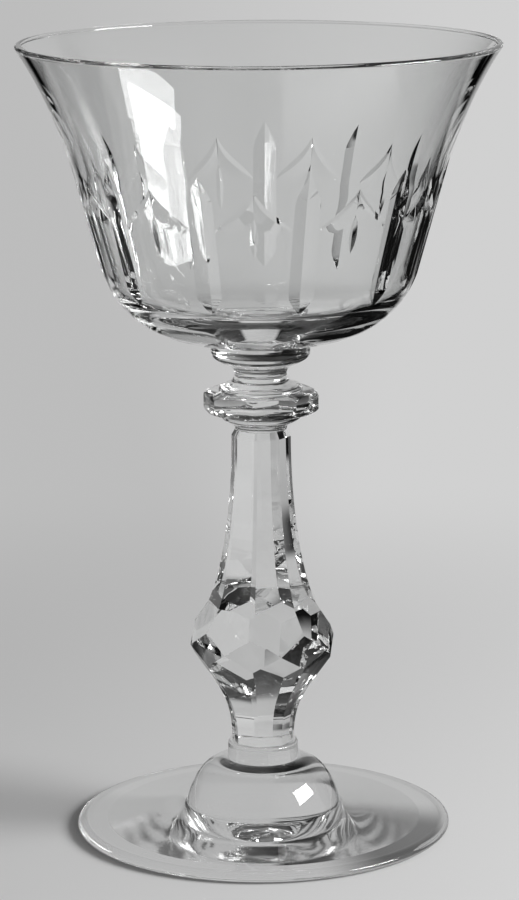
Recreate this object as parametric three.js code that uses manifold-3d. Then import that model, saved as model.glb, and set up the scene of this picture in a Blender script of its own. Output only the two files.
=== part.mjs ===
// Tall sherbet glass in clear cut crystal: a flared bowl on a cut baluster stem and a spun foot.
// Millimetres, +Z up, with the origin at the centre of the ring that the foot rests on.
// Each mesh is one bit of glass as the maker adds it, from the foot up. Neighbours meet on flat faces.

import * as THREE from 'three';
import { mergeVertices } from 'three/addons/utils/BufferGeometryUtils.js';
import Module from 'manifold-3d';

// Whole glass: the shank of the stem takes up what the other pieces leave
const GLASS_HEIGHT = 159.0;

// Foot: a spun disc, thin at the edge, that rises in a concave flare to the pad under its button
const FOOT_DIAMETER = 75.4;
const FOOT_EDGE_THICKNESS = 2.2;
const FOOT_CROWN_RISE = 2.2;
const FOOT_FLARE_RISE = 0.8;
const FOOT_FLARE_RUN = 5.0;
const FOOT_REST_INSET = 2.2;
const FOOT_REST_WIDTH = 4.0;
const FOOT_HOLLOW_DEPTH = 0.35;

// Foot button: a low bell with a steep side and a round top
const FOOT_BUTTON_BASE_DIAMETER = 31.2;
const FOOT_BUTTON_HEIGHT = 9.2;

// Stem ring: a small collar that flares down on to the foot button
const RING_BASE_DIAMETER = 14.4;
const RING_HEIGHT = 3.6;
const RING_LEDGE = 0.25;
const RING_EDGE_ROUND = 0.5;

// Stem shank: an eight-sided baluster, measured across its flats, with a bulb cut into diamonds
const STEM_SIDES = 8;
const STEM_TURN_DEGREES = -8;
const SHANK_FOOT_ACROSS_FLATS = 11.6;
const SHANK_FOOT_HEIGHT = 12.0;
const BULB_LOWER_EDGE_ACROSS_FLATS = 18.0;
const BULB_LOWER_HEIGHT = 8.9;
const BULB_DIAMETER = 29.8;
const BULB_UPPER_HEIGHT = 7.9;
const BULB_UPPER_EDGE_ACROSS_FLATS = 20.0;
const SHANK_TOP_ACROSS_FLATS = 11.0;
const SHANK_BEVEL_HEIGHT = 1.4;

// Stem button: the round button under the wafer
const STEM_NECK_DIAMETER = 10.3;
const STEM_BUTTON_DIAMETER = 16.6;
const STEM_BUTTON_HEIGHT = 3.3;

// Cut wafer: a turned disc with eight flats on its edge
const WAFER_BLANK_DIAMETER = 23.2;
const WAFER_ACROSS_FLATS = 21.3;
const WAFER_EDGE_HEIGHT = 2.2;
const WAFER_UPPER_BEVEL_HEIGHT = 1.4;
const WAFER_LOWER_BEVEL_HEIGHT = 1.1;

// Neck collar: a round collar on the wafer, drawn in to the waist under the bowl
const COLLAR_DIAMETER = 16.8;
const COLLAR_EDGE_HEIGHT = 0.9;
const COLLAR_EDGE_ROUND = 0.9;
const WAIST_DIAMETER = 10.4;
const WAIST_HEIGHT = 2.4;

// Bowl button: the round button that the bowl is stuck to
const BOWL_BUTTON_DIAMETER = 19.8;
const BOWL_BUTTON_EDGE_HEIGHT = 2.0;
const BOWL_BUTTON_TAPER_HEIGHT = 4.4;

// Bowl: round base, straight cut band, and a flare that ends in a thin rim
const BOWL_BASE_HEIGHT = 13.6;
const BAND_BOTTOM_DIAMETER = 61.8;
const BAND_HEIGHT = 20.6;
const BAND_TOP_DIAMETER = 73.2;
const FLARE_HEIGHT = 24.8;
const RIM_DIAMETER = 95.0;
const BOWL_FLOOR_THICKNESS = 5.2;
const BAND_WALL = 2.3;
const RIM_WALL = 1.3;

// Cutting of the band: tall pointed lancets, and a short mitre cut halfway between each two of them.
// Heights are from the base of the bowl, widths are half of a cut, and slopes are depth over half width.
const CUT_COUNT = 11;
const CUT_TURN_DEGREES = 14.5;
const LANCET_FOOT_HEIGHT = 10.0;
const LANCET_TIP_HEIGHT = 37.2;
const LANCET_TOE = 4.0;
const LANCET_ARCH = 5.6;
const LANCET_FOOT_HALF_WIDTH = 2.75;
const LANCET_TOP_HALF_WIDTH = 2.35;
const LANCET_SLOPE = 0.36;
const MITRE_BOTTOM_HEIGHT = 21.5;
const MITRE_TOP_HEIGHT = 29.4;
const MITRE_HALF_WIDTH = 0.8;
const MITRE_SLOPE = 0.5;

// Handles of each free curve, as shares of its run outwards and its rise: first handle, second handle
const LEVEL_TO_UPRIGHT = [[0.55, 0], [1, 0.45]];
const UPRIGHT_TO_LEVEL = [[0, 0.55], [0.45, 1]];
const UPRIGHT_SWELL = [[0, 0.5], [1, 0.45]];
const HOLLOW_OF_FOOT = [[0.4, 0], [0.6, 1]];
const FLARE_OF_FOOT = [[0.5, 0.42], [0.93, 0.6]];
const DOME_OF_FOOT_BUTTON = [[0.12, 0.36], [0.33, 0.97]];
const SIDE_OF_RING = [[0.67, 0.38], [1, 0.72]];
const SHANK_BELOW_BULB = [[0, 0.5], [0.35, 0.72]];
const SHANK_ABOVE_BULB = [[0.66, 0.22], [1, 0.62]];
const NECK_ABOVE_COLLAR = [[0.67, 0.2], [1, 0.5]];
const BASE_OF_BOWL = [[0.56, 0.05], [0.86, 0.45]];
const FLARE_OF_BOWL = [[0.25, 0.4], [0.64, 0.76]];
const INSIDE_OF_FLARE = [[0.36, 0.24], [0.75, 0.6]];
const INSIDE_OF_BASE = [[0.08, 0.88], [0.41, 1]];
const TOE_OF_LANCET = [[0.45, 0.3], [1, 0.7]];
const ARCH_OF_LANCET = [[0, 0.3], [0.55, 0.7]];

// Fineness of the turned surfaces
const BOWL_SEGMENTS = 72;
const FOOT_SEGMENTS = 60;
const STEM_SEGMENTS = 40;
const CURVE_STEPS = 5;
const WELD_DISTANCE = 1e-4;

// Clear crystal, polished all over
const CRYSTAL_COLOUR = 0xf2f5f5;
const CRYSTAL_ROUGHNESS = 0.03;
const CRYSTAL_OPACITY = 0.35;

const wasm = await Module();
wasm.setup();

/** Ratio of the radius at a corner to the radius at a flat, on the stem's cut pieces. */
const CORNER_RATIO = 1 / Math.cos(Math.PI / STEM_SIDES);

/** Sides of the cutter of a groove, and its spread, which sets its walls through the half width. */
const GROOVE_SIDES = 3;
const GROOVE_SPREAD = Math.sqrt(3);

/** Radius at the corners of a cut piece, from its size across the flats. */
function cornerRadius(acrossFlats) {
  return (acrossFlats / 2) * CORNER_RATIO;
}

/** Carries a profile on to a radius and height by a curve with the given handles. */
function sweepTo(profile, radius, height, handles) {
  const from = profile.currentPoint.clone();
  const run = radius - from.x;
  const rise = height - from.y;
  const [[firstRun, firstRise], [secondRun, secondRise]] = handles;
  profile.bezierCurveTo(
    from.x + run * firstRun, from.y + rise * firstRise,
    from.x + run * secondRun, from.y + rise * secondRise,
    radius, height,
  );
}

/** A profile that starts on the axis at the given height. */
function profileFromAxis(height) {
  const profile = new THREE.Path();
  profile.moveTo(0, height);
  return profile;
}

/** Turns a profile of radius and height about Z, with as many flat sides as there are segments. */
function turned(profile, segments) {
  const geometry = new THREE.LatheGeometry(profile.getPoints(CURVE_STEPS), segments);
  geometry.rotateX(Math.PI / 2);
  return geometry;
}

/** A geometry as a solid that can be cut, with its shared corners merged. */
function solidOf(geometry) {
  const bare = geometry.clone();
  bare.deleteAttribute('normal');
  bare.deleteAttribute('uv');
  const merged = mergeVertices(bare, WELD_DISTANCE);
  const corners = merged.index.array;
  const triangles = [];
  for (let i = 0; i < corners.length; i += 3) {
    const [a, b, c] = corners.slice(i, i + 3);
    if (a !== b && b !== c && c !== a) triangles.push(a, b, c);
  }
  return new wasm.Manifold(new wasm.Mesh({
    numProp: 3,
    vertProperties: new Float32Array(merged.attributes.position.array),
    triVerts: new Uint32Array(triangles),
  }));
}

/** A cut solid as a geometry again. */
function geometryOf(solid) {
  const mesh = solid.getMesh();
  const geometry = new THREE.BufferGeometry();
  geometry.setAttribute('position', new THREE.BufferAttribute(new Float32Array(mesh.vertProperties), 3));
  geometry.setIndex(new THREE.BufferAttribute(new Uint32Array(mesh.triVerts), 1));
  geometry.computeVertexNormals();
  return geometry;
}

/** An upright prism on z = 0 with the stem's number of sides, and a corner or a flat at the front. */
function stemPrism(acrossFlats, height, cornerInFront) {
  const radius = cornerRadius(acrossFlats);
  const prism = new THREE.CylinderGeometry(radius, radius, height, STEM_SIDES);
  prism.rotateX(Math.PI / 2);
  prism.rotateZ(cornerInFront ? 0 : Math.PI / STEM_SIDES);
  prism.translate(0, 0, height / 2);
  return prism;
}

/** Foot: hollow underside, flat rest ring, round edge, sloping top and the flare to the pad. */
function footGeometry() {
  const radius = FOOT_DIAMETER / 2;
  const pad = FOOT_BUTTON_BASE_DIAMETER / 2;
  const restOuter = radius - FOOT_REST_INSET;
  const flareFoot = FOOT_EDGE_THICKNESS + FOOT_CROWN_RISE;
  const height = flareFoot + FOOT_FLARE_RISE;
  const profile = profileFromAxis(FOOT_HOLLOW_DEPTH);
  sweepTo(profile, restOuter - FOOT_REST_WIDTH, 0, HOLLOW_OF_FOOT);
  profile.lineTo(restOuter, 0);
  sweepTo(profile, radius, FOOT_EDGE_THICKNESS / 2, LEVEL_TO_UPRIGHT);
  sweepTo(profile, restOuter, FOOT_EDGE_THICKNESS, UPRIGHT_TO_LEVEL);
  profile.lineTo(pad + FOOT_FLARE_RUN, flareFoot);
  sweepTo(profile, pad, height, FLARE_OF_FOOT);
  profile.lineTo(0, height);
  return turned(profile, FOOT_SEGMENTS);
}

/** Foot button: a steep side that rounds over to the seat of the stem ring. */
function footButtonGeometry() {
  const profile = profileFromAxis(0);
  profile.lineTo(FOOT_BUTTON_BASE_DIAMETER / 2, 0);
  sweepTo(profile, RING_BASE_DIAMETER / 2, FOOT_BUTTON_HEIGHT, DOME_OF_FOOT_BUTTON);
  profile.lineTo(0, FOOT_BUTTON_HEIGHT);
  return turned(profile, STEM_SEGMENTS);
}

/** Stem ring: a collar whose round edge stands proud of the shank's corners by its ledge. */
function stemRingGeometry() {
  const top = cornerRadius(SHANK_FOOT_ACROSS_FLATS) + RING_LEDGE;
  const profile = profileFromAxis(0);
  profile.lineTo(RING_BASE_DIAMETER / 2, 0);
  sweepTo(profile, top + RING_EDGE_ROUND, RING_HEIGHT - RING_EDGE_ROUND, SIDE_OF_RING);
  sweepTo(profile, top, RING_HEIGHT, UPRIGHT_TO_LEVEL);
  profile.lineTo(0, RING_HEIGHT);
  return turned(profile, STEM_SEGMENTS);
}

/**
 * Stem shank: an eight-sided baluster whose bulb would have a sharp corner on each side. Eight upright
 * cuts take those corners off, and each leaves a diamond whose points touch its neighbours on the girdle.
 */
function stemShankGeometry(height) {
  const girdleHeight = SHANK_FOOT_HEIGHT + BULB_LOWER_HEIGHT;
  const upperEdgeHeight = girdleHeight + BULB_UPPER_HEIGHT;
  const bevelHeight = height - SHANK_BEVEL_HEIGHT;
  const profile = profileFromAxis(0);
  profile.lineTo(cornerRadius(SHANK_FOOT_ACROSS_FLATS), 0);
  sweepTo(profile, cornerRadius(BULB_LOWER_EDGE_ACROSS_FLATS), SHANK_FOOT_HEIGHT, SHANK_BELOW_BULB);
  profile.lineTo(cornerRadius(BULB_DIAMETER), girdleHeight);
  profile.lineTo(cornerRadius(BULB_UPPER_EDGE_ACROSS_FLATS), upperEdgeHeight);
  sweepTo(profile, cornerRadius(SHANK_TOP_ACROSS_FLATS), bevelHeight, SHANK_ABOVE_BULB);
  profile.lineTo(STEM_NECK_DIAMETER / 2, height);
  profile.lineTo(0, height);
  const baluster = solidOf(turned(profile, STEM_SIDES));
  const diamondCuts = solidOf(stemPrism(BULB_DIAMETER / CORNER_RATIO, height, false));
  return geometryOf(baluster.intersect(diamondCuts));
}

/** Stem button: swells from the neck at the top of the shank to the seat under the wafer. */
function stemButtonGeometry() {
  const profile = profileFromAxis(0);
  profile.lineTo(STEM_NECK_DIAMETER / 2, 0);
  sweepTo(profile, STEM_BUTTON_DIAMETER / 2, STEM_BUTTON_HEIGHT, UPRIGHT_SWELL);
  profile.lineTo(0, STEM_BUTTON_HEIGHT);
  return turned(profile, STEM_SEGMENTS);
}

/** Cut wafer: a disc with round bevels above and below its edge, and upright flats cut on it. */
function cutWaferGeometry() {
  const blank = WAFER_BLANK_DIAMETER / 2;
  const edgeTop = WAFER_LOWER_BEVEL_HEIGHT + WAFER_EDGE_HEIGHT;
  const height = edgeTop + WAFER_UPPER_BEVEL_HEIGHT;
  const profile = profileFromAxis(0);
  profile.lineTo(STEM_BUTTON_DIAMETER / 2, 0);
  sweepTo(profile, blank, WAFER_LOWER_BEVEL_HEIGHT, LEVEL_TO_UPRIGHT);
  profile.lineTo(blank, edgeTop);
  sweepTo(profile, COLLAR_DIAMETER / 2, height, UPRIGHT_TO_LEVEL);
  profile.lineTo(0, height);
  const disc = solidOf(turned(profile, STEM_SEGMENTS));
  const flats = solidOf(stemPrism(WAFER_ACROSS_FLATS, height, true));
  return geometryOf(disc.intersect(flats));
}

/** Neck collar: a round-edged collar, then a concave sweep up to the waist. */
function neckCollarGeometry() {
  const rim = COLLAR_DIAMETER / 2;
  const height = COLLAR_EDGE_HEIGHT + WAIST_HEIGHT;
  const profile = profileFromAxis(0);
  profile.lineTo(rim, 0);
  sweepTo(profile, rim - COLLAR_EDGE_ROUND, COLLAR_EDGE_HEIGHT, UPRIGHT_TO_LEVEL);
  sweepTo(profile, WAIST_DIAMETER / 2, height, NECK_ABOVE_COLLAR);
  profile.lineTo(0, height);
  return turned(profile, STEM_SEGMENTS);
}

/** Bowl button: swells from the waist in a round underside to an upright edge under the bowl. */
function bowlButtonGeometry() {
  const rim = BOWL_BUTTON_DIAMETER / 2;
  const height = BOWL_BUTTON_TAPER_HEIGHT + BOWL_BUTTON_EDGE_HEIGHT;
  const profile = profileFromAxis(0);
  profile.lineTo(WAIST_DIAMETER / 2, 0);
  sweepTo(profile, rim, BOWL_BUTTON_TAPER_HEIGHT, UPRIGHT_SWELL);
  profile.lineTo(rim, height);
  profile.lineTo(0, height);
  return turned(profile, STEM_SEGMENTS);
}

/** Radius of a turned piece at a height, where its profile first passes it. */
function radiusAt(points, height) {
  const next = points.findIndex((point) => point.y > height);
  const low = points[next - 1];
  const high = points[next];
  return low.x + ((high.x - low.x) * (height - low.y)) / (high.y - low.y);
}

/**
 * A groove in the bowl's outer face, from its half width at each height. It starts as a three-sided
 * spindle about Y, and the corner that points inwards becomes its bottom line. The two walls that meet
 * there pass through the half width on the face, at the given slope.
 */
function grooveSolid(shape, slope, surface, turn) {
  const groove = new THREE.LatheGeometry(shape.getPoints(CURVE_STEPS), GROOVE_SIDES, Math.PI);
  const places = groove.attributes.position;
  const reference = (BAND_BOTTOM_DIAMETER + BAND_TOP_DIAMETER) / 4;
  for (let i = 0; i < places.count; i += 1) {
    const height = places.getY(i);
    const radius = radiusAt(surface, height) + slope * places.getZ(i);
    const angle = turn + (GROOVE_SPREAD * places.getX(i)) / reference;
    places.setXYZ(i, radius * Math.sin(angle), -radius * Math.cos(angle), height);
  }
  return solidOf(groove);
}

/** Outline of a lancet: half its width at each height, with a point at both ends. */
function lancetShape() {
  const shape = profileFromAxis(LANCET_FOOT_HEIGHT);
  sweepTo(shape, LANCET_FOOT_HALF_WIDTH, LANCET_FOOT_HEIGHT + LANCET_TOE, TOE_OF_LANCET);
  shape.lineTo(LANCET_TOP_HALF_WIDTH, LANCET_TIP_HEIGHT - LANCET_ARCH);
  sweepTo(shape, 0, LANCET_TIP_HEIGHT, ARCH_OF_LANCET);
  return shape;
}

/** Outline of a short mitre: half its width at each height, widest at its middle. */
function mitreShape() {
  const shape = profileFromAxis(MITRE_BOTTOM_HEIGHT);
  const middle = (MITRE_BOTTOM_HEIGHT + MITRE_TOP_HEIGHT) / 2;
  shape.quadraticCurveTo(2 * MITRE_HALF_WIDTH, middle, 0, MITRE_TOP_HEIGHT);
  return shape;
}

/** Bowl: outer face from its seat up to the rim, over the lip, down inside to the floor, and the cuts. */
function bowlGeometry() {
  const bandBottom = BAND_BOTTOM_DIAMETER / 2;
  const bandTop = BAND_TOP_DIAMETER / 2;
  const rim = RIM_DIAMETER / 2;
  const lip = RIM_WALL / 2;
  const bandTopHeight = BOWL_BASE_HEIGHT + BAND_HEIGHT;
  const height = bandTopHeight + FLARE_HEIGHT;
  const profile = profileFromAxis(0);
  profile.lineTo(BOWL_BUTTON_DIAMETER / 2, 0);
  sweepTo(profile, bandBottom, BOWL_BASE_HEIGHT, BASE_OF_BOWL);
  profile.lineTo(bandTop, bandTopHeight);
  sweepTo(profile, rim, height - lip, FLARE_OF_BOWL);
  sweepTo(profile, rim - lip, height, UPRIGHT_TO_LEVEL);
  sweepTo(profile, rim - RIM_WALL, height - lip, LEVEL_TO_UPRIGHT);
  sweepTo(profile, bandTop - BAND_WALL, bandTopHeight, INSIDE_OF_FLARE);
  profile.lineTo(bandBottom - BAND_WALL, BOWL_BASE_HEIGHT);
  sweepTo(profile, 0, BOWL_FLOOR_THICKNESS, INSIDE_OF_BASE);
  const surface = profile.getPoints(CURVE_STEPS);
  const lancet = lancetShape();
  const mitre = mitreShape();
  const pitch = (2 * Math.PI) / CUT_COUNT;
  let bowl = solidOf(turned(profile, BOWL_SEGMENTS));
  for (let cut = 0; cut < CUT_COUNT; cut += 1) {
    const turn = THREE.MathUtils.degToRad(CUT_TURN_DEGREES) + cut * pitch;
    bowl = bowl.subtract(grooveSolid(lancet, LANCET_SLOPE, surface, turn));
    bowl = bowl.subtract(grooveSolid(mitre, MITRE_SLOPE, surface, turn + pitch / 2));
  }
  return geometryOf(bowl);
}

/** Height that a geometry reaches above its own base. */
function heightOf(geometry) {
  geometry.computeBoundingBox();
  return geometry.boundingBox.max.z;
}

/** One named piece of clear crystal. */
function crystalMesh(name, geometry) {
  const material = new THREE.MeshStandardMaterial({
    color: CRYSTAL_COLOUR,
    roughness: CRYSTAL_ROUGHNESS,
    metalness: 0,
    transparent: true,
    opacity: CRYSTAL_OPACITY,
  });
  const mesh = new THREE.Mesh(geometry, material);
  mesh.name = name;
  return mesh;
}

const stemTurn = THREE.MathUtils.degToRad(STEM_TURN_DEGREES);

// From the table up, under and over the shank: name, geometry on its own base, turn about the stem
const underShank = [
  ['foot', footGeometry(), 0],
  ['foot_button', footButtonGeometry(), 0],
  ['stem_ring', stemRingGeometry(), 0],
];
const overShank = [
  ['stem_button', stemButtonGeometry(), 0],
  ['cut_wafer', cutWaferGeometry(), stemTurn],
  ['neck_collar', neckCollarGeometry(), 0],
  ['bowl_button', bowlButtonGeometry(), 0],
  ['bowl', bowlGeometry(), 0],
];
let shankHeight = GLASS_HEIGHT;
for (const [, geometry] of [...underShank, ...overShank]) {
  shankHeight -= heightOf(geometry);
}
const shank = ['stem_shank', stemShankGeometry(shankHeight), stemTurn];

const glass = new THREE.Group();
let seatHeight = 0;
for (const [name, geometry, turn] of [...underShank, shank, ...overShank]) {
  const mesh = crystalMesh(name, geometry);
  mesh.position.z = seatHeight;
  mesh.rotation.z = turn;
  glass.add(mesh);
  seatHeight += heightOf(geometry);
}

export default glass;
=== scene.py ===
"""Tall sherbet glass in clear cut crystal, dressed for a portrait on a pale studio sweep.

Each piece is drawn as one sector of the glass, repeated round the axis and set where the frame says.
Sizes are in metres, +Z is up, and the viewer of the portrait stands towards -Y.
"""

import logging
import math
from dataclasses import dataclass, field
from enum import Enum
from typing import Callable, ClassVar, Iterable, Optional, Sequence, Union

import bpy
from mathutils import Matrix, Vector
from mathutils.geometry import delaunay_2d_cdt


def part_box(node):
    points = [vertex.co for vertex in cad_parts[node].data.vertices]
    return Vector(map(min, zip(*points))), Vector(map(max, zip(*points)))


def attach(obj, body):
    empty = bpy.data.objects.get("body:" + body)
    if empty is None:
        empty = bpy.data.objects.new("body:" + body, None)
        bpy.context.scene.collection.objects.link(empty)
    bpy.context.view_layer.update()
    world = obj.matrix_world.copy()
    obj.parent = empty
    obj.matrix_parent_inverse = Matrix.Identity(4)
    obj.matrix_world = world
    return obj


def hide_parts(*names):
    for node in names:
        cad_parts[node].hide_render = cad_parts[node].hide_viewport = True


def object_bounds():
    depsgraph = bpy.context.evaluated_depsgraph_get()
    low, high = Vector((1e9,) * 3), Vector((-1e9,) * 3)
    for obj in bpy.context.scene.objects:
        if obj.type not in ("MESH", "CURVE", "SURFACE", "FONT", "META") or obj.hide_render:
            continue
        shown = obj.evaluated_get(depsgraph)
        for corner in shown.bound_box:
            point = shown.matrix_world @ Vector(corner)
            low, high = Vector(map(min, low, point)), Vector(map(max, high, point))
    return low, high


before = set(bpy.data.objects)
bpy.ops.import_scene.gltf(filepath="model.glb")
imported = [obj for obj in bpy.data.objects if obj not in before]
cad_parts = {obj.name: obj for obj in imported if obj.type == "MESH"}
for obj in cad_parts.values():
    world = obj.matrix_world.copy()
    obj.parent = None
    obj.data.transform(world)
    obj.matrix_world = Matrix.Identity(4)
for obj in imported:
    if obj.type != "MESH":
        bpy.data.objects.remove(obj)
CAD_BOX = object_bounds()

log = logging.getLogger("sherbet_glass")

MM = 0.001
BODY = "root"
FRONT = -math.pi / 2
FUSED = "fused"

STEM_SIDES = 8
STEM_TURN = math.radians(-8.0)
CURVE_STEPS = 24
SECTOR_COLUMNS = 24
WELD = 0.0005 * MM
CREASE = math.radians(10.0)
HALVINGS = 48

# Added under a division, so that nothing is divided by nought
TINY = 0.001

# Distance in millimetres within which two places of a drawing are one
SAME_PLACE = 1e-6

Point = tuple[float, float]
Span = tuple[float, float]


class Slot(Enum):
    """Names of the material slots."""

    FOOT = "foot_crystal"
    STEM = "stem_crystal"
    BOWL = "bowl_crystal"


class Bend(Enum):
    """Free curves of the outlines: both handles as shares of the run outwards and of the rise."""

    LEVEL_TO_UPRIGHT = ((0.55, 0.0), (1.0, 0.45))
    UPRIGHT_TO_LEVEL = ((0.0, 0.55), (0.45, 1.0))
    UPRIGHT_SWELL = ((0.0, 0.5), (1.0, 0.45))
    STRAIGHT = ((1 / 3, 1 / 3), (2 / 3, 2 / 3))
    HOLLOW_OF_FOOT = ((0.4, 0.0), (0.6, 1.0))
    FLARE_OF_FOOT = ((0.5, 0.42), (0.93, 0.6))
    DOME_OF_FOOT_BUTTON = ((0.12, 0.36), (0.33, 0.97))
    SIDE_OF_RING = ((0.67, 0.38), (1.0, 0.72))
    SHANK_BELOW_BULB = ((0.0, 0.5), (0.35, 0.72))
    SHANK_ABOVE_BULB = ((0.66, 0.22), (1.0, 0.62))
    NECK_ABOVE_COLLAR = ((0.67, 0.2), (1.0, 0.5))
    BASE_OF_BOWL = ((0.56, 0.05), (0.86, 0.45))
    FLARE_OF_BOWL = ((0.25, 0.4), (0.64, 0.76))
    INSIDE_OF_FLARE = ((0.36, 0.24), (0.75, 0.6))
    INSIDE_OF_BASE = ((0.08, 0.88), (0.41, 1.0))
    ARCH_OF_LANCET = ((0.0, 0.3), (0.55, 0.7))
    WING = ((0.4, 0.22), (0.95, 0.5))


def find_share(is_before: Callable[[float], bool]) -> float:
    """Finds a place along a curve by halving.

    Args:
        is_before: Whether a share of the curve, from 0 to 1, ends before the place.

    Returns:
        The share that ends at the place.
    """
    low, high = 0.0, 1.0
    for _ in range(HALVINGS):
        middle = (low + high) / 2
        if is_before(middle):
            low = middle
        else:
            high = middle
    return (low + high) / 2


@dataclass(frozen=True)
class Sweep:
    """One free curve from a start to an end, in radius and height.

    Attributes:
        start: Radius and height where it starts.
        end: Radius and height where it ends.
        bend: Handles of the curve.
    """

    start: Point
    end: Point
    bend: Bend

    def at(self, share: float) -> Point:
        """Gives a point on the curve.

        Args:
            share: Place along the curve, from 0 to 1.

        Returns:
            Radius and height of the point.
        """
        rest = 1 - share
        first, second = self.bend.value
        place = []
        for axis in (0, 1):
            gap = self.end[axis] - self.start[axis]
            pull = 3 * rest * rest * share * first[axis] + 3 * rest * share * share * second[axis]
            place.append(self.start[axis] + gap * (pull + share ** 3))
        return place[0], place[1]

    def points(self, steps: int) -> list[Point]:
        """Gives the points after the start, one at the end of each step."""
        return [self.at(step / steps) for step in range(1, steps + 1)]

    def share_at(self, height: float) -> float:
        """Finds where the curve passes a height.

        Args:
            height: Height between the curve's two ends, which it passes once.

        Returns:
            The place along the curve, from 0 to 1.
        """
        rising = self.end[1] > self.start[1]
        return find_share(lambda share: (self.at(share)[1] < height) == rising)

    def radius_at(self, height: float) -> float:
        """Gives the curve's radius at a height that it passes once."""
        return self.at(self.share_at(height))[0]

    def points_to(self, height: float, steps: int) -> list[Point]:
        """Gives the points after the start, up to a height."""
        last = self.share_at(height)
        return [self.at(last * step / steps) for step in range(1, steps + 1)]

    def points_from(self, height: float, steps: int) -> list[Point]:
        """Gives the points from a height on, with both ends."""
        first = self.share_at(height)
        return [self.at(first + (1 - first) * step / steps) for step in range(steps + 1)]


@dataclass
class Outline:
    """Half section of a turned piece, from one end to the other.

    Attributes:
        points: Radius and height of each ring.
    """

    points: list[Point] = field(default_factory=list)

    def to(self, radius: float, height: float) -> "Outline":
        """Runs straight on to a radius and height."""
        self.points.append((radius, height))
        return self

    def sweep(self, radius: float, height: float, bend: Bend, steps: int = CURVE_STEPS) -> "Outline":
        """Runs on by a free curve to a radius and height.

        Args:
            radius: Radius where the curve ends.
            height: Height where the curve ends.
            bend: Handles of the curve.
            steps: Number of rings along it.

        Returns:
            The outline itself, so that calls can be chained.
        """
        self.points += Sweep(self.points[-1], (radius, height), bend).points(steps)
        return self


@dataclass(frozen=True)
class Level:
    """Bottom and top of a node on the axis, and its widest radius, as the frame has them.

    Attributes:
        bottom: Height of its lower face.
        top: Height of its upper face.
        radius: Half of its width along Y.
    """

    bottom: float
    top: float
    radius: float

    @classmethod
    def of(cls, node: str) -> "Level":
        """Reads the level of a node from the frame."""
        low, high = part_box(node)
        return cls(low.z, high.z, (high.y - low.y) / 2)


def eight_sided(corner: float, angle: float) -> float:
    """Radius of an eight-sided ring.

    Args:
        corner: Radius at its corners.
        angle: Angle from one of the corners.

    Returns:
        The ring's radius at that angle.
    """
    side = 2 * math.pi / STEM_SIDES
    from_flat = angle % side - side / 2
    return corner * math.cos(side / 2) / math.cos(from_flat)


def corner_radius(across_flats: float) -> float:
    """Radius at the corners of an eight-sided piece, from its size across the flats."""
    return across_flats / 2 / math.cos(math.pi / STEM_SIDES)


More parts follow.
